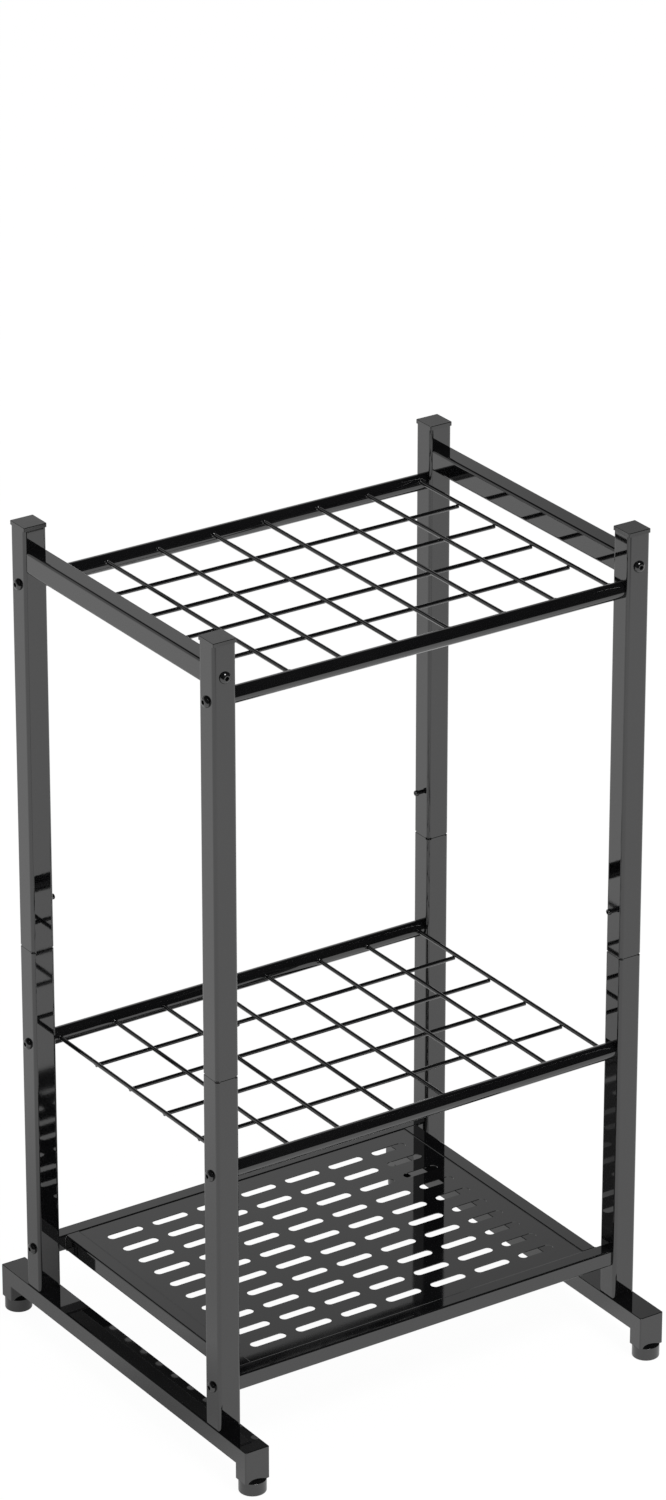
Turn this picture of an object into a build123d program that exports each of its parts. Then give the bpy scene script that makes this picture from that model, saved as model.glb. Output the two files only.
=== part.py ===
"""Freestanding garden tool rack.

Four square posts, each in two lengths, stand on two base rails with levelling feet.
Two side rails tie the tops of the posts. Two wire grids hold the tool handles upright,
and their ends stand on a slotted tray. Millimetres, +Z up, X along the wide side,
origin on the floor under the middle of the rack.
"""

import os

from build123d import *

os.makedirs("parts", exist_ok=True)

# Overall, over the outer faces of the posts
rack_width = 590.0
rack_depth = 425.0

# Posts: square steel tube in a lower and an upper length
post_size = 30.0
post_wall = 1.2
post_corner_radius = 4.0
lower_post_length = 452.0
upper_post_length = 532.0
seam_notch_reach = 5.0
seam_notch_height = 1.5
seam_edge_chamfer = 0.4

# Inner sleeve that joins the two lengths of a post, and its screw
connector_reach = 70.0
connector_wall = 1.5
connector_clearance = 0.2
connector_screw_rise = 58.0
connector_screw_diameter = 5.0
connector_screw_neck = 5.5
connector_screw_head_diameter = 7.0
connector_screw_head_height = 3.6
connector_screw_socket = 3.0
connector_screw_socket_depth = 2.0
connector_screw_tail = 1.5

# Moulded caps in the tops of the posts
cap_lip_height = 5.0
cap_overhang = 0.3
cap_corner_radius = 1.2
cap_edge_radius = 0.6
cap_plug_depth = 18.0
cap_plug_wall = 2.0

# Base rails with closed ends, and the blocks under their ends
base_rail_width = 33.0
base_rail_height = 21.5
base_rail_wall = 1.5
base_rail_overhang = 56.5
base_edge_radius = 0.8
base_corner_radius = 1.5
end_block_depth = 21.5
end_block_height = 20.0

# Levelling feet: a pad that turns on a threaded stud
foot_pad_diameter = 33.0
foot_pad_height = 16.5
foot_pad_lower_edge = 1.5
foot_pad_upper_edge = 0.5
foot_stud_diameter = 8.0
foot_stud_tail = 3.0
foot_stud_bore_clearance = 1.0
foot_socket_depth = 9.0
foot_socket_floor_gap = 0.3
running_clearance = 0.05

# Side rails between the tops of the posts
side_rail_width = 25.0
side_rail_height = 27.0
side_rail_wall = 1.2
side_rail_corner_radius = 3.5
side_rail_drop = 25.0

# Wire grids: round end tubes with a welded mesh between them
grid_tube_diameter = 20.0
grid_tube_wall = 1.2
wire_diameter = 5.0
wire_edge_gap = 9.0
cross_wire_count = 8
cell_width_difference = 6.0
middle_cross_wire_rise = 0.8
top_cross_wire_rise = 3.7
long_wire_count = 4
long_wire_end_gap = 1.0
end_cell_widening = 2.5
crossing_weld_sink = 1.0
top_grid_drop = 69.0
middle_grid_rise = 328.0

# Tray: a frame of square tube around a slotted deck
tray_tube_size = 20.0
tray_tube_wall = 1.2
tray_corner_radius = 2.0
tray_rise = 53.5
tray_side_inset = 10.0
deck_thickness = 1.0
deck_recess = 1.0
deck_flange_depth = 12.0
slot_length = 48.0
slot_width = 12.0
slot_columns = 7
slot_rows = 10
slot_margin_x = 20.5
slot_margin_y = 26.0

# Button head bolts, and the threaded plugs in the tube ends that take them
bolt_diameter = 8.0
bolt_head_diameter = 14.0
bolt_head_height = 4.4
bolt_head_rim = 1.0
bolt_head_crown_diameter = 7.4
bolt_head_bulge = 0.7
bolt_socket = 5.0
bolt_socket_depth = 2.8
bolt_engagement = 16.0
bolt_hole_clearance = 0.3
thread_clearance = 0.05
insert_length = 20.0

# Places that follow from the sizes above
block_base = foot_pad_height
rail_base = block_base + end_block_height
rail_top = rail_base + base_rail_height
seam_height = rail_top + lower_post_length
post_top = seam_height + upper_post_length
post_x = (rack_width - post_size) / 2
post_y = (rack_depth - post_size) / 2
post_inner_size = post_size - 2 * post_wall
post_inner_radius = post_corner_radius - post_wall
clear_width = rack_width - 2 * post_size
clear_depth = rack_depth - 2 * post_size
base_rail_length = rack_depth + 2 * base_rail_overhang
foot_y = (base_rail_length - end_block_depth) / 2
side_rail_height_above_floor = post_top - side_rail_drop - side_rail_height / 2
connector_screw_height = seam_height + connector_screw_rise
tray_height = rail_top + tray_rise
tray_top = tray_height + tray_tube_size / 2
grid_heights = {"middle_grid": rail_top + middle_grid_rise, "top_grid": post_top - top_grid_drop}

corners = {
    "front_left": (-1, -1),
    "front_right": (1, -1),
    "back_left": (-1, 1),
    "back_right": (1, 1),
}
sides = {"left": -1, "right": 1}
ends = {"front": -1, "back": 1}
low = (Align.CENTER, Align.CENTER, Align.MIN)
high = (Align.CENTER, Align.CENTER, Align.MAX)


def keep(piece, label):
    """Labels a finished piece and writes it as its own STEP file."""
    piece.part.label = label
    export_step(piece.part, f"parts/{label}.step")


def facing_x(side, x, y, z):
    """A plane at side * x whose normal points along X, away from the middle for x outward."""
    return Plane(origin=(side * x, y, z), x_dir=(0, 1, 0), z_dir=(side, 0, 0))


def facing_y(end, x, y, z):
    """A plane at end * y whose normal points along Y, away from the middle."""
    return Plane(origin=(x, end * y, z), x_dir=(1, 0, 0), z_dir=(0, end, 0))


def tube_profile(across, along, corner_radius, wall):
    """The rounded section of a rectangular tube, in the sketch that calls it."""
    RectangleRounded(across, along, corner_radius)
    RectangleRounded(across - 2 * wall, along - 2 * wall, corner_radius - wall, mode=Mode.SUBTRACT)


def seam_notches(height):
    """Nicks across the corners where two lengths of a post meet, reaching along both faces."""
    nick_distance = (post_size - seam_notch_reach) / 2**0.5
    with Locations((0, 0, height)):
        with PolarLocations(nick_distance, 4, start_angle=45):
            Box(
                seam_notch_reach,
                2 * seam_notch_reach,
                2 * seam_notch_height,
                align=(Align.MIN, Align.CENTER, Align.CENTER),
                mode=Mode.SUBTRACT,
            )


def button_head_bolt(reach):
    """A socket button head bolt: head above the origin, shank reaching down from it."""
    head_radius = bolt_head_diameter / 2
    with BuildPart() as bolt:
        with BuildSketch(Plane.XZ):
            with BuildLine():
                Polyline(
                    (0, bolt_head_height),
                    (0, -reach),
                    (bolt_diameter / 2, -reach),
                    (bolt_diameter / 2, 0),
                    (head_radius, 0),
                    (head_radius, bolt_head_rim),
                )
                SagittaArc(
                    (head_radius, bolt_head_rim),
                    (bolt_head_crown_diameter / 2, bolt_head_height),
                    -bolt_head_bulge,
                )
                Line((bolt_head_crown_diameter / 2, bolt_head_height), (0, bolt_head_height))
            make_face()
        revolve(axis=Axis.Z)
        with BuildSketch(Plane.XY.offset(bolt_head_height)):
            RegularPolygon(bolt_socket / 2, 6, major_radius=False)
        extrude(amount=-bolt_socket_depth, mode=Mode.SUBTRACT)
    return bolt.part


def connector_screw_shape():
    """A necked screw: head and neck above the origin, thread reaching down from it."""
    thread_reach = post_wall + connector_clearance + connector_wall + connector_screw_tail
    with BuildPart() as screw:
        Cylinder(connector_screw_diameter / 2, thread_reach, align=high)
        Cylinder(connector_screw_diameter / 2, connector_screw_neck, align=low)
        with BuildSketch(Plane.XY.offset(connector_screw_neck)):
            Circle(connector_screw_head_diameter / 2)
        extrude(amount=connector_screw_head_height)
        fillet(screw.edges().group_by(Axis.Z)[-1], connector_screw_head_height / 4)
        with BuildSketch(Plane.XY.offset(connector_screw_neck + connector_screw_head_height)):
            RegularPolygon(connector_screw_socket / 2, 6, major_radius=False)
        extrude(amount=-connector_screw_socket_depth, mode=Mode.SUBTRACT)
    return screw.part


# Base rails: rectangular tube with welded, closed ends
for side_name, side in sides.items():
    with BuildPart() as base_rail:
        with BuildSketch(Plane.XY.offset(rail_base)):
            with Locations((side * post_x, 0)):
                Rectangle(base_rail_width, base_rail_length)
        extrude(amount=base_rail_height)
        fillet(base_rail.edges().filter_by(Axis.Z), base_corner_radius)
        fillet(base_rail.edges().group_by(Axis.Z)[-1], base_edge_radius)
        with Locations((side * post_x, 0, rail_base + base_rail_height / 2)):
            Box(
                base_rail_width - 2 * base_rail_wall,
                base_rail_length - 2 * base_rail_wall,
                base_rail_height - 2 * base_rail_wall,
                mode=Mode.SUBTRACT,
            )
        with Locations((side * post_x, -post_y, rail_base), (side * post_x, post_y, rail_base)):
            Cylinder(
                bolt_diameter / 2 + bolt_hole_clearance,
                base_rail_height,
                align=low,
                mode=Mode.SUBTRACT,
            )
        with Locations((side * post_x, -foot_y, rail_base), (side * post_x, foot_y, rail_base)):
            Cylinder(
                foot_stud_diameter / 2 + foot_stud_bore_clearance,
                base_rail_wall,
                align=low,
                mode=Mode.SUBTRACT,
            )
    keep(base_rail, f"base_rail_{side_name}")

for place, (side, end) in corners.items():
    foot_x = side * post_x
    foot_place_y = end * foot_y
    column_x = side * post_x
    column_y = end * post_y

    # Block welded under the end of a base rail, bored and threaded for the foot
    with BuildPart() as end_block:
        with BuildSketch(Plane.XY.offset(block_base)):
            with Locations((foot_x, foot_place_y)):
                Rectangle(base_rail_width, end_block_depth)
        extrude(amount=end_block_height)
        fillet(end_block.edges().filter_by(Axis.Z), base_corner_radius)
        with Locations((foot_x, foot_place_y, block_base)):
            Cylinder(
                foot_stud_diameter / 2 + running_clearance,
                end_block_height,
                align=low,
                mode=Mode.SUBTRACT,
            )
    keep(end_block, f"end_block_{place}")

    # Foot pad with a blind socket for its stud
    with BuildPart() as foot_pad:
        with Locations((foot_x, foot_place_y, 0)):
            Cylinder(foot_pad_diameter / 2, foot_pad_height, align=low)
        fillet(foot_pad.edges().group_by(Axis.Z)[0], foot_pad_lower_edge)
        fillet(foot_pad.edges().group_by(Axis.Z)[-1], foot_pad_upper_edge)
        with Locations((foot_x, foot_place_y, foot_pad_height)):
            Cylinder(
                foot_stud_diameter / 2 + running_clearance,
                foot_socket_depth,
                align=high,
                mode=Mode.SUBTRACT,
            )
    keep(foot_pad, f"foot_pad_{place}")

    # Threaded stud that carries the pad and screws into the end block
    stud_base = foot_pad_height - foot_socket_depth + foot_socket_floor_gap
    stud_top = rail_base + base_rail_wall + foot_stud_tail
    with BuildPart() as foot_stud:
        with Locations((foot_x, foot_place_y, stud_base)):
            Cylinder(foot_stud_diameter / 2, stud_top - stud_base, align=low)
        chamfer(foot_stud.edges().group_by(Axis.Z)[-1], foot_stud_tail / 4)
    keep(foot_stud, f"foot_stud_{place}")

    # Lower length of the post, drilled for the tray and middle grid bolts
    with BuildPart() as lower_post:
        with BuildSketch(Plane.XY.offset(rail_top)):
            tube_profile(post_size, post_size, post_corner_radius, post_wall)
        extrude(amount=lower_post_length)
        chamfer(lower_post.faces().sort_by(Axis.Z)[-1].outer_wire().edges(), seam_edge_chamfer)
        seam_notches(seam_height)
        for height in (tray_height, grid_heights["middle_grid"]):
            with Locations((0, 0, height)):
                Cylinder(
                    bolt_diameter / 2 + bolt_hole_clearance,
                    post_size,
                    rotation=(0, 90, 0),
                    mode=Mode.SUBTRACT,
                )
    lower_post.part.locate(Location((column_x, column_y, 0)))
    keep(lower_post, f"lower_post_{place}")

    # Upper length of the post, drilled for the grid, the side rail and the connector screw
    with BuildPart() as upper_post:
        with BuildSketch(Plane.XY.offset(seam_height)):
            tube_profile(post_size, post_size, post_corner_radius, post_wall)
        extrude(amount=upper_post_length)
        chamfer(upper_post.faces().sort_by(Axis.Z)[0].outer_wire().edges(), seam_edge_chamfer)
        seam_notches(seam_height)
        with Locations((0, 0, grid_heights["top_grid"])):
            Cylinder(
                bolt_diameter / 2 + bolt_hole_clearance,
                post_size,
                rotation=(0, 90, 0),
                mode=Mode.SUBTRACT,
            )
        with Locations((0, 0, side_rail_height_above_floor)):
            Cylinder(
                bolt_diameter / 2 + bolt_hole_clearance,
                post_size,
                rotation=(90, 0, 0),
                mode=Mode.SUBTRACT,
            )
        with Locations(facing_x(-side, post_size / 2, 0, connector_screw_height)):
            Cylinder(
                connector_screw_diameter / 2 + thread_clearance,
                2 * post_wall,
                align=high,
                mode=Mode.SUBTRACT,
            )
    upper_post.part.locate(Location((column_x, column_y, 0)))
    keep(upper_post, f"upper_post_{place}")

    # Sleeve inside the post: pressed into the lower length, a sliding fit in the upper one
    upper_sleeve = post_inner_size - 2 * connector_clearance
    with BuildPart() as connector:
        with BuildSketch(Plane.XY.offset(seam_height - connector_reach)):
            tube_profile(post_inner_size, post_inner_size, post_inner_radius, connector_wall)
        extrude(amount=connector_reach)
        with BuildSketch(Plane.XY.offset(seam_height)):
            tube_profile(
                upper_sleeve,
                upper_sleeve,
                post_inner_radius - connector_clearance,
                connector_wall - connector_clearance,
            )
        extrude(amount=connector_reach)
        with Locations(facing_x(-side, upper_sleeve / 2, 0, connector_screw_height)):
            Cylinder(
                connector_screw_diameter / 2 + thread_clearance,
                2 * connector_wall,
                align=high,
                mode=Mode.SUBTRACT,
            )
    connector.part.locate(Location((column_x, column_y, 0)))
    keep(connector, f"post_connector_{place}")

    # Moulded cap: a flat lip on the end of the tube and a hollow plug inside it
    with BuildPart() as post_cap:
        with BuildSketch(Plane.XY.offset(post_top)):
            with Locations((column_x, column_y)):
                RectangleRounded(
                    post_size + 2 * cap_overhang, post_size + 2 * cap_overhang, cap_corner_radius
                )
        extrude(amount=cap_lip_height)
        fillet(post_cap.edges().group_by(Axis.Z)[-1], cap_edge_radius)
        with BuildSketch(Plane.XY.offset(post_top)):
            with Locations((column_x, column_y)):
                tube_profile(post_inner_size, post_inner_size, post_inner_radius, cap_plug_wall)
        extrude(amount=-cap_plug_depth)
    keep(post_cap, f"post_cap_{place}")

# Screws through the inner faces of the upper posts into the sleeves
connector_screw = connector_screw_shape()
with BuildPart() as connector_screws:
    for side, end in corners.values():
        inner_face = rack_width / 2 - post_size
        with Locations(
            Plane(
                origin=(side * inner_face, end * post_y, connector_screw_height),
                z_dir=(-side, 0, 0),
            )
        ):
            add(connector_screw)
keep(connector_screws, "connector_screws")

# Threaded square plugs in the bottoms of the lower posts
with BuildPart() as post_base_inserts:
    for side, end in corners.values():
        with BuildSketch(Plane.XY.offset(rail_top)):
            with Locations((side * post_x, end * post_y)):
                RectangleRounded(post_inner_size, post_inner_size, post_inner_radius)
                Circle(bolt_diameter / 2 + thread_clearance, mode=Mode.SUBTRACT)
        extrude(amount=insert_length)
keep(post_base_inserts, "post_base_inserts")

# Bolts up through the base rails into the posts
base_bolt = button_head_bolt(base_rail_height + bolt_engagement)
with BuildPart() as post_base_bolts:
    for side, end in corners.values():
        with Locations(Plane(origin=(side * post_x, end * post_y, rail_base), z_dir=(0, 0, -1))):
            add(base_bolt)
keep(post_base_bolts, "post_base_bolts")

# Side rails between the front and back posts
for side_name, side in sides.items():
    with BuildPart() as side_rail:
        with BuildSketch(facing_y(1, side * post_x, -clear_depth / 2, side_rail_height_above_floor)):
            tube_profile(
                side_rail_width, side_rail_height, side_rail_corner_radius, side_rail_wall
            )
        extrude(amount=clear_depth)
    keep(side_rail, f"side_rail_{side_name}")

# Threaded plugs in the ends of the side rails
with BuildPart() as side_rail_inserts:
    for side, end in corners.values():
        with BuildSketch(
            facing_y(end, side * post_x, clear_depth / 2, side_rail_height_above_floor)
        ):
            RectangleRounded(
                side_rail_width - 2 * side_rail_wall,
                side_rail_height - 2 * side_rail_wall,
                side_rail_corner_radius - side_rail_wall,
            )
            Circle(bolt_diameter / 2 + thread_clearance, mode=Mode.SUBTRACT)
        extrude(amount=-insert_length)
keep(side_rail_inserts, "side_rail_inserts")

# Bolts through the front and back faces of the posts into the side rails
frame_bolt = button_head_bolt(post_size + bolt_engagement)
with BuildPart() as side_rail_bolts:
    for side, end in corners.values():
        with Locations(
            facing_y(end, side * post_x, rack_depth / 2, side_rail_height_above_floor)
        ):
            add(frame_bolt)
keep(side_rail_bolts, "side_rail_bolts")

# Wire grids: two end tubes, wires across them in wide and narrow cells by turns, and long
# wires welded beneath
wire_radius = wire_diameter / 2
outer_wire_x = clear_width / 2 - wire_edge_gap
wide_cell_count = cross_wire_count // 2
all_wide_parts = wide_cell_count * cell_width_difference
narrow_cell_width = (2 * outer_wire_x - all_wide_parts) / (cross_wire_count - 1)
cross_wire_places = [-outer_wire_x]
for cell in range(cross_wire_count - 1):
    widening = 0 if cell % 2 else cell_width_difference
    cross_wire_places.append(cross_wire_places[-1] + narrow_cell_width + widening)
tube_gap = 2 * post_y - grid_tube_diameter
long_wire_pitch = (tube_gap - 2 * end_cell_widening) / (long_wire_count + 1)
long_wire_length = 2 * (outer_wire_x - long_wire_end_gap)
crossing_drop = wire_diameter - crossing_weld_sink
cross_wire_rises = {"middle_grid": middle_cross_wire_rise, "top_grid": top_cross_wire_rise}

for grid_name, grid_height in grid_heights.items():
    for end_name, end in ends.items():
        with BuildPart() as grid_tube:
            with BuildSketch(facing_x(1, -clear_width / 2, end * post_y, grid_height)):
                Circle(grid_tube_diameter / 2)
                Circle(grid_tube_diameter / 2 - grid_tube_wall, mode=Mode.SUBTRACT)
            extrude(amount=clear_width)
        keep(grid_tube, f"{grid_name}_{end_name}_tube")

    # Wires across the rack, their ends cut to the round of the tubes
    cross_wire_height = grid_height + cross_wire_rises[grid_name]
    with BuildPart() as cross_wires:
        for place_x in cross_wire_places:
            with Locations((place_x, 0, cross_wire_height)):
                Cylinder(wire_radius, 2 * post_y, rotation=(90, 0, 0))
        with Locations((0, -post_y, grid_height), (0, post_y, grid_height)):
            Cylinder(
                grid_tube_diameter / 2, clear_width, rotation=(0, 90, 0), mode=Mode.SUBTRACT
            )
    keep(cross_wires, f"{grid_name}_cross_wires")

    # Long wires under them, from the first cross wire to the last, with a saddle where each
    # weld has sunk a cross wire into them
    with BuildPart() as long_wires:
        with Locations((0, 0, cross_wire_height - crossing_drop)):
            with GridLocations(1, long_wire_pitch, 1, long_wire_count):
                Cylinder(wire_radius, long_wire_length, rotation=(0, 90, 0))
        for place_x in cross_wire_places:
            with Locations((place_x, 0, cross_wire_height)):
                Cylinder(wire_radius, tube_gap, rotation=(90, 0, 0), mode=Mode.SUBTRACT)
    keep(long_wires, f"{grid_name}_long_wires")

    # Threaded round plugs in the ends of the grid tubes
    with BuildPart() as grid_inserts:
        for side, end in corners.values():
            with BuildSketch(facing_x(side, clear_width / 2, end * post_y, grid_height)):
                Circle(grid_tube_diameter / 2 - grid_tube_wall)
                Circle(bolt_diameter / 2 + thread_clearance, mode=Mode.SUBTRACT)
            extrude(amount=-insert_length)
    keep(grid_inserts, f"{grid_name}_inserts")

    # Bolts through the outer faces of the posts into the grid tubes
    with BuildPart() as grid_bolts:
        for side, end in corners.values():
            with Locations(facing_x(side, rack_width / 2, end * post_y, grid_height)):
                add(frame_bolt)
    keep(grid_bolts, f"{grid_name}_bolts")

# Tray frame: front and back tubes between the posts, side tubes welded between them
for end_name, end in ends.items():
    with BuildPart() as tray_tube:
        with BuildSketch(facing_x(1, -clear_width / 2, end * post_y, tray_height)):
            tube_profile(tray_tube_size, tray_tube_size, tray_corner_radius, tray_tube_wall)
        extrude(amount=clear_width)
    keep(tray_tube, f"tray_{end_name}_tube")

tray_side_x = clear_width / 2 - tray_side_inset - tray_tube_size / 2
deck_depth = 2 * post_y - tray_tube_size
for side_name, side in sides.items():
    with BuildPart() as tray_side_tube:
        with BuildSketch(facing_y(1, side * tray_side_x, -deck_depth / 2, tray_height)):
            tube_profile(tray_tube_size, tray_tube_size, tray_corner_radius, tray_tube_wall)
        extrude(amount=deck_depth)
    keep(tray_side_tube, f"tray_{side_name}_tube")

# Slotted deck: sheet steel with its edges folded down against the frame
deck_width = 2 * tray_side_x - tray_tube_size
deck_top = tray_top - deck_recess
slot_pitch_x = (deck_width - 2 * slot_margin_x - slot_length) / (slot_columns - 1)
slot_pitch_y = (deck_depth - 2 * slot_margin_y - slot_width) / (slot_rows - 1)
with BuildPart() as tray_deck:
    with Locations((0, 0, deck_top)):
        Box(deck_width, deck_depth, deck_flange_depth, align=high)
    with Locations((0, 0, deck_top - deck_thickness)):
        Box(
            deck_width - 2 * deck_thickness,
            deck_depth - 2 * deck_thickness,
            deck_flange_depth,
            align=high,
            mode=Mode.SUBTRACT,
        )
    with BuildSketch(Plane.XY.offset(deck_top)):
        with GridLocations(slot_pitch_x, slot_pitch_y, slot_columns, slot_rows):
            SlotOverall(slot_length, slot_width)
    extrude(amount=-deck_thickness, mode=Mode.SUBTRACT)
keep(tray_deck, "tray_deck")

# Threaded square plugs in the ends of the front and back tray tubes
with BuildPart() as tray_inserts:
    for side, end in corners.values():
        plug_size = tray_tube_size - 2 * tray_tube_wall
        with BuildSketch(facing_x(side, clear_width / 2, end * post_y, tray_height)):
            RectangleRounded(plug_size, plug_size, tray_corner_radius - tray_tube_wall)
            Circle(bolt_diameter / 2 + thread_clearance, mode=Mode.SUBTRACT)
        extrude(amount=-insert_length)
keep(tray_inserts, "tray_inserts")

# Bolts through the outer faces of the posts into the tray
with BuildPart() as tray_bolts:
    for side, end in corners.values():
        with Locations(facing_x(side, rack_width / 2, end * post_y, tray_height)):
            add(frame_bolt)
keep(tray_bolts, "tray_bolts")
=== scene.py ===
"""Freestanding garden tool rack: finishes, welds, threads and the studio round it."""

import math

import bmesh
import bpy
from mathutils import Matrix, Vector


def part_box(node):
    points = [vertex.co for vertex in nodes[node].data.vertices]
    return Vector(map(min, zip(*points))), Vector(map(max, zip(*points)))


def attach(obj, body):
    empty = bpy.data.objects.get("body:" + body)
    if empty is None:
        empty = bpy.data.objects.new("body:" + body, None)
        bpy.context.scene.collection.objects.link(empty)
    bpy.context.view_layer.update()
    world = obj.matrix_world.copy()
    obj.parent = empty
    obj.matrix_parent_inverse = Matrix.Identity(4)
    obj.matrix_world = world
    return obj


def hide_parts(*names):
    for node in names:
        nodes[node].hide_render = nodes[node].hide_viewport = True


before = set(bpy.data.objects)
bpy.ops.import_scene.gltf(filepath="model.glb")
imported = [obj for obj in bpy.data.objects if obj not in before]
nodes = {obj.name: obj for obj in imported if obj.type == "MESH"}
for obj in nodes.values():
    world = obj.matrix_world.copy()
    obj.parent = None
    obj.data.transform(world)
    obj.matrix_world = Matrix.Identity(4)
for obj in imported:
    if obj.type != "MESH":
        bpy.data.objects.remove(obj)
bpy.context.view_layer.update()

# Base rails and end blocks.
# Rectangular steel tube with its ends welded shut, and a block welded under each end. The
# welds on the outside are ground flush, then all of it is powder coated in gloss black.
corners = ("front_left", "front_right", "back_left", "back_right")
coat_ior = 1.8
patch_low = 0.32
patch_high = 0.68


def feed(tree, node, inputs):
    """Sets each input of a node to a value, or links it to another node's output."""
    for name, value in inputs.items():
        if isinstance(value, bpy.types.NodeSocket):
            tree.links.new(value, node.inputs[name])
        else:
            node.inputs[name].default_value = value


def add_node(tree, kind, inputs=None, **options):
    """Adds a node to a tree, with its options set and its inputs fed."""
    node = tree.nodes.new(kind)
    for option, choice in options.items():
        setattr(node, option, choice)
    feed(tree, node, inputs or {})
    return node


def skin(name, dark, light, patch, peel, peel_height, smooth, rough, ior=coat_ior):
    """A smooth black skin: patches of tone and sheen, under a fine peel that ripples it."""
    material = bpy.data.materials.new(name)
    material.use_nodes = True
    tree = material.node_tree
    place = add_node(tree, "ShaderNodeTexCoord").outputs["Object"]
    patch_noise = {"Vector": place, "Scale": patch, "Detail": 4.0}
    patches = add_node(tree, "ShaderNodeTexNoise", patch_noise).outputs["Fac"]
    tone = add_node(tree, "ShaderNodeValToRGB", {"Fac": patches})
    tone.color_ramp.elements[0].position = patch_low
    tone.color_ramp.elements[0].color = (*dark, 1.0)
    tone.color_ramp.elements[1].position = patch_high
    tone.color_ramp.elements[1].color = (*light, 1.0)
    sheen_limits = {
        "Value": patches,
        "From Min": patch_low,
        "From Max": patch_high,
        "To Min": smooth,
        "To Max": rough,
    }
    sheen = add_node(tree, "ShaderNodeMapRange", sheen_limits)
    ripple = add_node(tree, "ShaderNodeTexNoise", {"Vector": place, "Scale": peel, "Detail": 1.5})
    ripple_height = {"Height": ripple.outputs["Fac"], "Distance": peel_height}
    bump = add_node(tree, "ShaderNodeBump", ripple_height)
    look = {
        "Base Color": tone.outputs["Color"],
        "Roughness": sheen.outputs["Result"],
        "IOR": ior,
        "Normal": bump.outputs["Normal"],
    }
    feed(tree, tree.nodes["Principled BSDF"], look)
    return material


powder_coat = skin(
    "gloss_black_powder_coat",
    dark=(0.0036, 0.0036, 0.0040),
    light=(0.0060, 0.0060, 0.0064),
    patch=9.0,
    peel=380.0,
    peel_height=0.000003,
    smooth=0.02,
    rough=0.06,
)


def finish(material, names):
    """Gives solid pieces one finish all over."""
    for name in names:
        nodes[name].data.materials.clear()
        nodes[name].data.materials.append(material)


finish(powder_coat, ["base_rail_left", "base_rail_right"])
finish(powder_coat, [f"end_block_{corner}" for corner in corners])

# The fillet weld inside each end block is a row of overlapping ripples along the joint, each
# a drop of metal a little larger or smaller than its neighbours.
drop_inputs = {"Guide": "Geometry", "Drop size": "Vector", "Seed": "Int", "Finish": "Material"}
block_weld_width = 0.004
block_weld_inset = 0.003


def start_weld(name, sockets):
    """Starts a node tree that turns a guide mesh into weld metal, with its inputs named."""
    tree = bpy.data.node_groups.new(name, "GeometryNodeTree")
    for label, kind in sockets.items():
        tree.interface.new_socket(label, in_out="INPUT", socket_type=f"NodeSocket{kind}")
    tree.interface.new_socket("Weld", in_out="OUTPUT", socket_type="NodeSocketGeometry")
    return tree, add_node(tree, "NodeGroupInput").outputs


def lay_drops(tree, given, laying, smallest, largest):
    """Ends a tree with a ball of metal on each point, flattened by the drop size."""
    ball = add_node(tree, "GeometryNodeMeshIcoSphere", {"Radius": 0.5, "Subdivisions": 2})
    limits = {2: smallest, 3: largest, "Seed": given["Seed"]}
    uneven = add_node(tree, "FunctionNodeRandomValue", limits, data_type="FLOAT")
    scaling = {0: given["Drop size"], "Scale": uneven.outputs[1]}
    sized = add_node(tree, "ShaderNodeVectorMath", scaling, operation="SCALE")
    drops = {**laying, "Instance": ball.outputs["Mesh"], "Scale": sized.outputs["Vector"]}
    laid = add_node(tree, "GeometryNodeInstanceOnPoints", drops)
    real = add_node(tree, "GeometryNodeRealizeInstances", {"Geometry": laid.outputs["Instances"]})
    smooth = add_node(tree, "GeometryNodeSetShadeSmooth", {"Geometry": real.outputs["Geometry"]})
    coating = {"Geometry": smooth.outputs["Geometry"], "Material": given["Finish"]}
    coated = add_node(tree, "GeometryNodeSetMaterial", coating)
    add_node(tree, "NodeGroupOutput", {"Weld": coated.outputs["Geometry"]})


def bead_tree():
    """Lays drops along every edge of the guide, turned to follow it."""
    tree, given = start_weld("weld_bead", {**drop_inputs, "Drop spacing": "Float"})
    path = add_node(tree, "GeometryNodeMeshToCurve", {"Mesh": given["Guide"]})
    spacing = {"Curve": path.outputs["Curve"], "Length": given["Drop spacing"]}
    steps = add_node(tree, "GeometryNodeResampleCurve", spacing, mode="LENGTH")
    along = {"Vector": add_node(tree, "GeometryNodeInputTangent").outputs["Tangent"]}
    turn = add_node(tree, "FunctionNodeAlignRotationToVector", along, axis="X")
    laying = {"Points": steps.outputs["Curve"], "Rotation": turn.outputs["Rotation"]}
    lay_drops(tree, given, laying, smallest=0.86, largest=1.1)
    return tree


def grow(name, guide, tree, inputs):
    """Runs a tree on a guide mesh and keeps the weld as a plain coated mesh."""
    guide_object = bpy.data.objects.new(name + "_guide", guide)
    bpy.context.scene.collection.objects.link(guide_object)
    modifier = guide_object.modifiers.new("made", "NODES")
    modifier.node_group = tree
    for label, value in inputs.items():
        modifier[tree.interface.items_tree[label].identifier] = value
    evaluated = guide_object.evaluated_get(bpy.context.evaluated_depsgraph_get())
    piece = bpy.data.objects.new(name, bpy.data.meshes.new_from_object(evaluated))
    bpy.context.scene.collection.objects.link(piece)
    bpy.data.objects.remove(guide_object)
    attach(piece, "rack_frame")


weld_bead = bead_tree()


def weld_seams(name, seams, width, seed):
    """Welds along straight seams, given as pairs of end points."""
    guide = bpy.data.meshes.new(name + "_guide")
    points = [point for seam in seams for point in seam]
    edges = [(2 * index, 2 * index + 1) for index in range(len(seams))]
    guide.from_pydata(points, edges, [])
    ripple_length = 0.9 * width
    inputs = {
        "Drop size": (ripple_length, width, width),
        "Drop spacing": ripple_length / 2,
        "Seed": seed,
        "Finish": powder_coat,
    }
    grow(name, guide, weld_bead, inputs)


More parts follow.
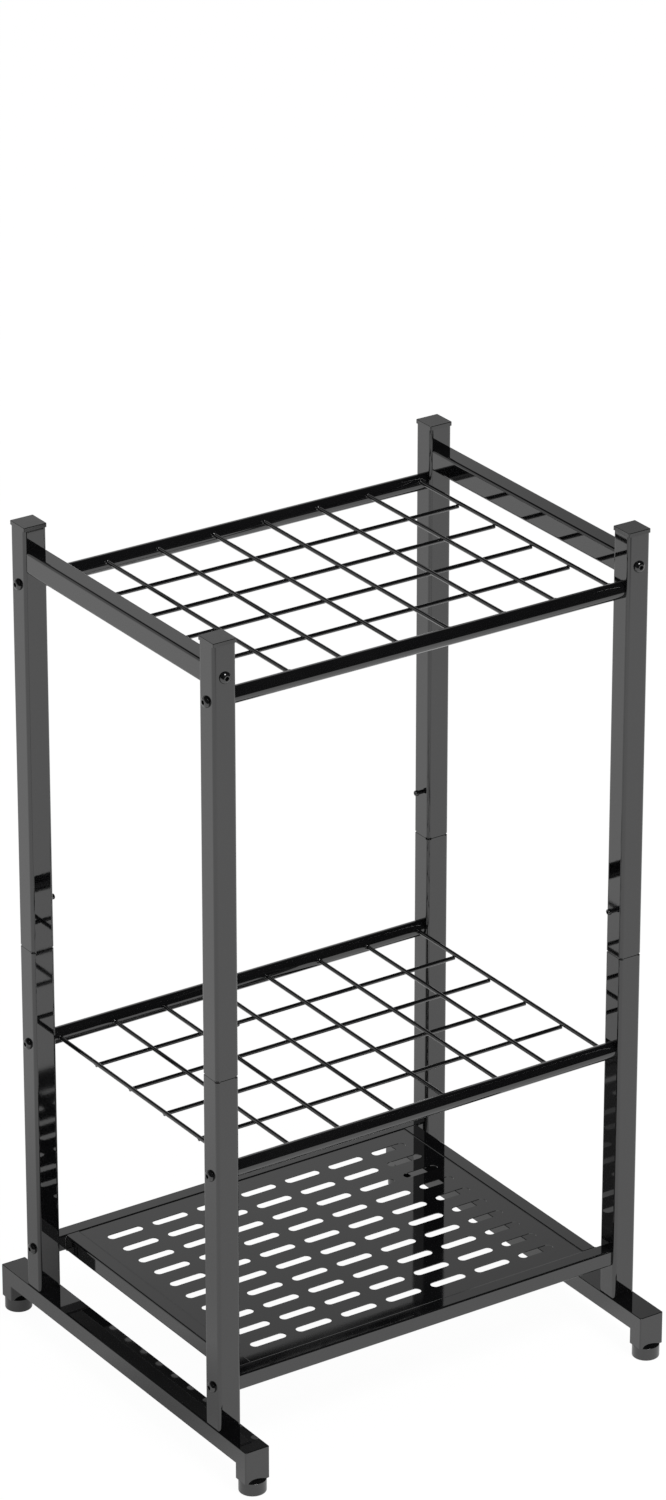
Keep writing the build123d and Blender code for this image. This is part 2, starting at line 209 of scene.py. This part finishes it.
block_seams = []
for corner in corners:
    block_low, block_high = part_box(f"end_block_{corner}")
    inner_y = block_high[1] if "front" in corner else block_low[1]
    seam_start = (block_low[0] + block_weld_inset, inner_y, block_high[2])
    seam_end = (block_high[0] - block_weld_inset, inner_y, block_high[2])
    block_seams.append((seam_start, seam_end))
weld_seams("end_block_welds", block_seams, block_weld_width, seed=3)

# Levelling feet.
# A hard black plastic pad, moulded round the lower end of a zinc plated stud with a rolled
# M8 thread. The stud screws up into the end block.
pad_plastic = skin(
    "moulded_pad_plastic",
    dark=(0.0050, 0.0050, 0.0052),
    light=(0.0075, 0.0075, 0.0078),
    patch=30.0,
    peel=1400.0,
    peel_height=0.000006,
    smooth=0.10,
    rough=0.15,
)
finish(pad_plastic, [f"foot_pad_{corner}" for corner in corners])


def combined(tree, operation, first, second):
    """Works out one level from two, each a number or another node's output."""
    node = add_node(tree, "ShaderNodeMath", {0: first, 1: second}, operation=operation)
    return node.outputs["Value"]


def zinc(name, crystal, smooth, rough):
    """Zinc plate: a pale metal with cloudy crystals that differ a little in tone and sheen."""
    material = bpy.data.materials.new(name)
    material.use_nodes = True
    tree = material.node_tree
    place = add_node(tree, "ShaderNodeTexCoord").outputs["Object"]
    crystals = add_node(tree, "ShaderNodeTexVoronoi", {"Vector": place, "Scale": crystal})
    cloud_noise = {"Vector": place, "Scale": crystal / 6, "Detail": 5.0}
    cloud = add_node(tree, "ShaderNodeTexNoise", cloud_noise).outputs["Fac"]
    mixed = combined(tree, "MULTIPLY", crystals.outputs["Distance"], cloud)
    tone = add_node(tree, "ShaderNodeValToRGB", {"Fac": mixed})
    tone.color_ramp.elements[0].color = (0.62, 0.63, 0.62, 1.0)
    tone.color_ramp.elements[1].position = 0.5
    tone.color_ramp.elements[1].color = (0.44, 0.46, 0.48, 1.0)
    sheen = add_node(tree, "ShaderNodeMapRange", {"Value": cloud, "To Min": smooth, "To Max": rough})
    bump = add_node(tree, "ShaderNodeBump", {"Height": cloud, "Strength": 0.4, "Distance": 0.00001})
    look = {
        "Base Color": tone.outputs["Color"],
        "Metallic": 1.0,
        "Roughness": sheen.outputs["Result"],
        "Normal": bump.outputs["Normal"],
    }
    feed(tree, tree.nodes["Principled BSDF"], look)
    return material


bright_zinc = zinc("bright_zinc_plate", crystal=900.0, smooth=0.22, rough=0.38)

# The thread's flanks rise from a flat root to a flat crest. Where they start and end is a
# share of half the pitch, measured from the middle of the groove.
thread_pitch = 0.00125
thread_depth = 0.0007
thread_lead_in = 0.0011
root_end = 0.1
crest_start = 0.5
steps_round = 20
steps_per_pitch = 6

for corner in corners:
    stud_low, stud_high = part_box(f"foot_stud_{corner}")
    stud_radius = (stud_high[0] - stud_low[0]) / 2
    stud_x = (stud_high[0] + stud_low[0]) / 2
    stud_y = (stud_high[1] + stud_low[1]) / 2
    stud_length = stud_high[2] - stud_low[2]
    ring_count = round(stud_length / thread_pitch * steps_per_pitch) + 1
    thread = bmesh.new()
    rings = []
    for ring in range(ring_count):
        rise = stud_length * ring / (ring_count - 1)
        end_distance = min(rise, stud_length - rise)
        lead_in = max(0.0, 1.0 - end_distance / thread_lead_in) * thread_depth
        verts = []
        for step in range(steps_round):
            angle = 2 * math.pi * step / steps_round
            phase = (rise / thread_pitch - step / steps_round) % 1.0
            flank = (crest_start - abs(2 * phase - 1)) / (crest_start - root_end)
            groove = min(1.0, max(0.0, flank))
            radius = stud_radius - max(thread_depth * groove, lead_in)
            out_x, out_y = radius * math.cos(angle), radius * math.sin(angle)
            verts.append(thread.verts.new((stud_x + out_x, stud_y + out_y, stud_low[2] + rise)))
        rings.append(verts)
    for lower, upper in zip(rings, rings[1:]):
        for step in range(steps_round):
            after = (step + 1) % steps_round
            thread.faces.new((lower[step], lower[after], upper[after], upper[step]))
    thread.faces.new(list(reversed(rings[0])))
    thread.faces.new(rings[-1])
    for face in thread.faces:
        face.smooth = len(face.verts) == 4
    stud_mesh = bpy.data.meshes.new(f"threaded_stud_{corner}")
    thread.to_mesh(stud_mesh)
    thread.free()
    stud_mesh.materials.append(bright_zinc)
    stud = bpy.data.objects.new(f"threaded_stud_{corner}", stud_mesh)
    bpy.context.scene.collection.objects.link(stud)
    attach(stud, f"foot_stud_{corner}")
    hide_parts(f"foot_stud_{corner}")

# Posts.
# Square tube in two lengths over a black steel sleeve, held by a necked screw above the seam.
# A zinc plated plug in the foot of the post takes the bolt that comes up through the rail.
finish(powder_coat, [f"lower_post_{corner}" for corner in corners])
finish(powder_coat, [f"upper_post_{corner}" for corner in corners])

sleeve_black = skin(
    "black_oxide_sleeve",
    dark=(0.010, 0.010, 0.011),
    light=(0.022, 0.021, 0.020),
    patch=60.0,
    peel=700.0,
    peel_height=0.00001,
    smooth=0.35,
    rough=0.5,
    ior=1.5,
)
finish(sleeve_black, [f"post_connector_{corner}" for corner in corners])

bolt_black = skin(
    "black_coated_bolt",
    dark=(0.0045, 0.0045, 0.0048),
    light=(0.0085, 0.0085, 0.0090),
    patch=160.0,
    peel=2600.0,
    peel_height=0.000003,
    smooth=0.10,
    rough=0.17,
)
finish(bolt_black, ["connector_screws", "post_base_bolts"])

plug_zinc = zinc("dull_zinc_plug", crystal=420.0, smooth=0.34, rough=0.52)
finish(plug_zinc, ["post_base_inserts"])

# Post caps.
# Moulded black plastic with a fine satin grain, pushed into the tops of the posts.
cap_plastic = skin(
    "moulded_cap_plastic",
    dark=(0.0048, 0.0048, 0.0050),
    light=(0.0070, 0.0070, 0.0073),
    patch=40.0,
    peel=1800.0,
    peel_height=0.000005,
    smooth=0.12,
    rough=0.2,
)
finish(cap_plastic, [f"post_cap_{corner}" for corner in corners])

# Side rails.
# Rounded rectangular tube between the front and back posts, bolted through their faces into
# plugs in its ends.
finish(powder_coat, ["side_rail_left", "side_rail_right"])
finish(bolt_black, ["side_rail_bolts"])
finish(plug_zinc, ["side_rail_inserts"])

# Wire grids.
# Round end tubes with wire welded between them. Where wires cross they are spot welded, which
# squeezes a little metal out of the joint, and a bead holds each wire to its tube.
spot_in_radii = (2.0, 2.0, 1.1)
end_bead_in_radii = (3.2, 1.6, 2.7)
gap_between_wires = 0.015


def spot_tree():
    """Lays one drop on every point of the guide."""
    tree, given = start_weld("weld_spots", drop_inputs)
    lay_drops(tree, given, {"Points": given["Guide"]}, smallest=0.9, largest=1.08)
    return tree


weld_spots = spot_tree()


def spot_welds(name, points, size, seed):
    """Welds single spots of one size, each centred on a point."""
    guide = bpy.data.meshes.new(name + "_guide")
    guide.from_pydata(points, [], [])
    grow(name, guide, weld_spots, {"Drop size": size, "Seed": seed, "Finish": powder_coat})


def wire_spans(node, axis):
    """From where to where each parallel wire of a node reaches along an axis."""
    values = sorted(vertex.co[axis] for vertex in nodes[node].data.vertices)
    spans = [[values[0], values[0]]]
    for value in values[1:]:
        if value - spans[-1][1] > gap_between_wires:
            spans.append([value, value])
        spans[-1][1] = value
    return spans


for grid in ("middle_grid", "top_grid"):
    finish(powder_coat, [f"{grid}_front_tube", f"{grid}_back_tube"])
    finish(powder_coat, [f"{grid}_cross_wires", f"{grid}_long_wires"])
    finish(bolt_black, [f"{grid}_bolts"])
    finish(plug_zinc, [f"{grid}_inserts"])
    cross_x = [(left + right) / 2 for left, right in wire_spans(f"{grid}_cross_wires", 0)]
    long_spans = wire_spans(f"{grid}_long_wires", 1)
    long_y = [(near + far) / 2 for near, far in long_spans]
    wire_radius = (long_spans[0][1] - long_spans[0][0]) / 2
    cross_low, cross_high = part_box(f"{grid}_cross_wires")
    long_low, long_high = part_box(f"{grid}_long_wires")
    tube_low, tube_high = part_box(f"{grid}_front_tube")
    tube_radius = (tube_high[2] - tube_low[2]) / 2
    tube_z = (tube_high[2] + tube_low[2]) / 2
    tube_y = -(tube_high[1] + tube_low[1]) / 2
    crossing_z = (cross_low[2] + long_high[2]) / 2
    crossings = []
    for place_x in cross_x:
        weld_x = min(max(place_x, long_low[0]), long_high[0])
        crossings += [(weld_x, place_y, crossing_z) for place_y in long_y]
    spot = tuple(share * wire_radius for share in spot_in_radii)
    spot_welds(f"{grid}_crossing_welds", crossings, spot, seed=11)
    wire_z = (cross_low[2] + cross_high[2]) / 2
    joint_y = tube_y - math.sqrt(tube_radius**2 - (wire_z - tube_z) ** 2)
    ends = [(place_x, side * joint_y, wire_z) for place_x in cross_x for side in (-1, 1)]
    end_bead = tuple(share * wire_radius for share in end_bead_in_radii)
    spot_welds(f"{grid}_wire_end_welds", ends, end_bead, seed=12)

# Tray.
# A frame of square tube, its side tubes welded between the front and back ones, round a deck
# of slotted sheet whose folded edges are tacked to the tubes from below.
frame_weld_width = 0.0034
tack_width = 0.003
tack_reach = 0.006
tack_count = 4
corner_round = 0.002
finish(powder_coat, [f"tray_{side}_tube" for side in ("front", "back", "left", "right")])
finish(powder_coat, ["tray_deck"])
finish(bolt_black, ["tray_bolts"])
finish(plug_zinc, ["tray_inserts"])

tray_seams = []
for side in ("left", "right"):
    side_low, side_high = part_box(f"tray_{side}_tube")
    outer_x = side_low[0] if side == "left" else side_high[0]
    seam_low, seam_high = side_low[2] + corner_round, side_high[2] - corner_round
    seam_left, seam_right = side_low[0] + corner_round, side_high[0] - corner_round
    for end_y in (side_low[1], side_high[1]):
        tray_seams.append(((outer_x, end_y, seam_low), (outer_x, end_y, seam_high)))
        tray_seams.append(((seam_left, end_y, side_low[2]), (seam_right, end_y, side_low[2])))
weld_seams("tray_frame_welds", tray_seams, frame_weld_width, seed=21)

tack_seams = []
deck_low, deck_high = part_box("tray_deck")
tack_z = deck_low[2]
for index in range(tack_count):
    share = (index + 0.5) / tack_count
    tack_x = deck_low[0] + share * (deck_high[0] - deck_low[0])
    tack_y = deck_low[1] + share * (deck_high[1] - deck_low[1])
    for edge_y in (deck_low[1], deck_high[1]):
        tack_start = (tack_x - tack_reach, edge_y, tack_z)
        tack_seams.append((tack_start, (tack_x + tack_reach, edge_y, tack_z)))
    for edge_x in (deck_low[0], deck_high[0]):
        tack_start = (edge_x, tack_y - tack_reach, tack_z)
        tack_seams.append((tack_start, (edge_x, tack_y + tack_reach, tack_z)))
weld_seams("tray_deck_tacks", tack_seams, tack_width, seed=22)

# Studio.
# A pale floor and a white surround, plain white where seen straight, with one broad lamp high
# in front. Mirrored in the gloss coat, the surround falls away to a dark room above and in
# front, and the floor has painted round shades by the rack and goes dark a few metres in front
# of it.
floor_reach = 20.0
pale_level = 1.03
pale_share_seen = 0.94
pale_share_mirrored = 0.63
dark_level = 0.02
dark_front = (-2.15, -3.2)
# Painted shades on the floor, which only mirror images show: each has a centre, a radius and a
# darkness.
painted_floor_shades = (
    ((-0.42, 0.28, 0.0), 0.65, 0.32),
    ((-0.33, -0.04, 0.0), 0.30, 0.52),
    ((-0.08, 0.20, 0.0), 0.38, 0.80),
)


def faded(tree, value, start, end, low, high):
    """Goes smoothly from low to high as the value goes from start to end."""
    limits = {"Value": value, "From Min": start, "From Max": end, "To Min": low, "To Max": high}
    node = add_node(tree, "ShaderNodeMapRange", limits, interpolation_type="SMOOTHSTEP")
    return node.outputs["Result"]


floor_corners = [
    (-floor_reach, -floor_reach, 0.0),
    (floor_reach, -floor_reach, 0.0),
    (floor_reach, floor_reach, 0.0),
    (-floor_reach, floor_reach, 0.0),
]
floor_mesh = bpy.data.meshes.new("floor")
floor_mesh.from_pydata(floor_corners, [], [(0, 1, 2, 3)])
floor = bpy.data.objects.new("floor", floor_mesh)
bpy.context.scene.collection.objects.link(floor)
floor_paint = bpy.data.materials.new("floor_paint")
floor_paint.use_nodes = True
paint = floor_paint.node_tree
matt = paint.nodes["Principled BSDF"]
feed(paint, matt, {"Base Color": (0.9, 0.9, 0.9, 1.0), "Roughness": 0.9, "IOR": 1.0})
pale = add_node(paint, "ShaderNodeEmission", {"Strength": pale_level})
dark = add_node(paint, "ShaderNodeEmission", {"Strength": dark_level})
paint_rays = add_node(paint, "ShaderNodeLightPath").outputs
seen_share = combined(paint, "MULTIPLY", paint_rays["Is Camera Ray"], pale_share_seen)
mirrored_share = combined(paint, "MULTIPLY", paint_rays["Is Glossy Ray"], pale_share_mirrored)
pale_share = combined(paint, "ADD", seen_share, mirrored_share)
pale_mix = {"Fac": pale_share, 1: matt.outputs["BSDF"], 2: pale.outputs["Emission"]}
pale_floor = add_node(paint, "ShaderNodeMixShader", pale_mix)
paint_place = add_node(paint, "ShaderNodeTexCoord").outputs["Object"]
paint_split = add_node(paint, "ShaderNodeSeparateXYZ", {"Vector": paint_place})
dark_part = faded(paint, paint_split.outputs["Y"], *dark_front, 0.0, 1.0)
for centre, radius, darkness in painted_floor_shades:
    circle = {"Vector": paint_place, "Location": centre, "Scale": (radius, radius, 1.0)}
    shade_place = add_node(paint, "ShaderNodeMapping", circle, vector_type="TEXTURE")
    from_centre = {0: shade_place.outputs["Vector"]}
    distance = add_node(paint, "ShaderNodeVectorMath", from_centre, operation="LENGTH")
    shade = faded(paint, distance.outputs["Value"], 0.0, 1.0, darkness, 0.0)
    dark_part = combined(paint, "MAXIMUM", dark_part, shade)
dark_share = combined(paint, "MULTIPLY", dark_part, paint_rays["Is Glossy Ray"])
dark_mix = {"Fac": dark_share, 1: pale_floor.outputs["Shader"], 2: dark.outputs["Emission"]}
floor_look = add_node(paint, "ShaderNodeMixShader", dark_mix)
feed(paint, paint.nodes["Material Output"], {"Surface": floor_look.outputs["Shader"]})
floor_mesh.materials.append(floor_paint)

# The surround is highest behind the rack, slopes down to below the floor in front of it, and
# is dimmer at the right.
surround_level = 0.544
room_level = 0.016
surround_slope = 0.65
surround_edge = (-0.04, 0.13)
right_edge = (0.515, 0.55)
right_share = 0.58
soft_level = 0.44
world = bpy.data.worlds.new("studio")
bpy.context.scene.world = world
world.use_nodes = True
sky = world.node_tree
sky.nodes.clear()
sky_place = add_node(sky, "ShaderNodeTexCoord").outputs["Generated"]
sky_split = add_node(sky, "ShaderNodeSeparateXYZ", {"Vector": sky_place}).outputs
edge_height = combined(sky, "MULTIPLY", sky_split["Y"], surround_slope)
over_edge = combined(sky, "SUBTRACT", sky_split["Z"], edge_height)
surround = faded(sky, over_edge, *surround_edge, surround_level, room_level)
right_side = faded(sky, sky_split["X"], *right_edge, 1.0, right_share)
mirrored_level = combined(sky, "MULTIPLY", surround, right_side)
sky_rays = add_node(sky, "ShaderNodeLightPath").outputs
mirrored = combined(sky, "MAXIMUM", sky_rays["Is Glossy Ray"], sky_rays["Is Transmission Ray"])
unmirrored = combined(sky, "SUBTRACT", 1.0, mirrored)
mirrored_glow = combined(sky, "MULTIPLY", mirrored, mirrored_level)
soft_glow = combined(sky, "MULTIPLY", unmirrored, soft_level)
glow = combined(sky, "ADD", mirrored_glow, soft_glow)
level = combined(sky, "MAXIMUM", glow, sky_rays["Is Camera Ray"])
white_glow = {"Color": (1.0, 1.0, 1.0, 1.0), "Strength": level}
sky_light = add_node(sky, "ShaderNodeBackground", white_glow)
add_node(sky, "ShaderNodeOutputWorld", {"Surface": sky_light.outputs["Background"]})

lamp_aim = Vector((0.0, 0.0, 0.55))
lamp_direction = Vector((0.03, -0.57, 0.82)).normalized()
lamp_distance = 12.0
lamp = bpy.data.lights.new("front_lamp", "AREA")
lamp.shape = "DISK"
lamp.size = 4.8
lamp.energy = 690.0
lamp_holder = bpy.data.objects.new("front_lamp", lamp)
bpy.context.scene.collection.objects.link(lamp_holder)
lamp_holder.location = lamp_aim + lamp_direction * lamp_distance
lamp_holder.rotation_mode = "QUATERNION"
lamp_holder.rotation_quaternion = lamp_direction.to_track_quat("Z", "Y")

camera_down = 24.486
camera_turn = 33.827
camera_data = bpy.data.cameras.new("camera")
camera_data.lens = 156.52
camera_data.sensor_width = 36.0
camera = bpy.data.objects.new("camera", camera_data)
bpy.context.scene.collection.objects.link(camera)
camera.location = (-3.80485, -5.68428, 3.88068)
camera.rotation_euler = (math.radians(90 - camera_down), 0, -math.radians(camera_turn))
bpy.context.scene.camera = camera

bpy.context.scene.view_settings.view_transform = "Standard"
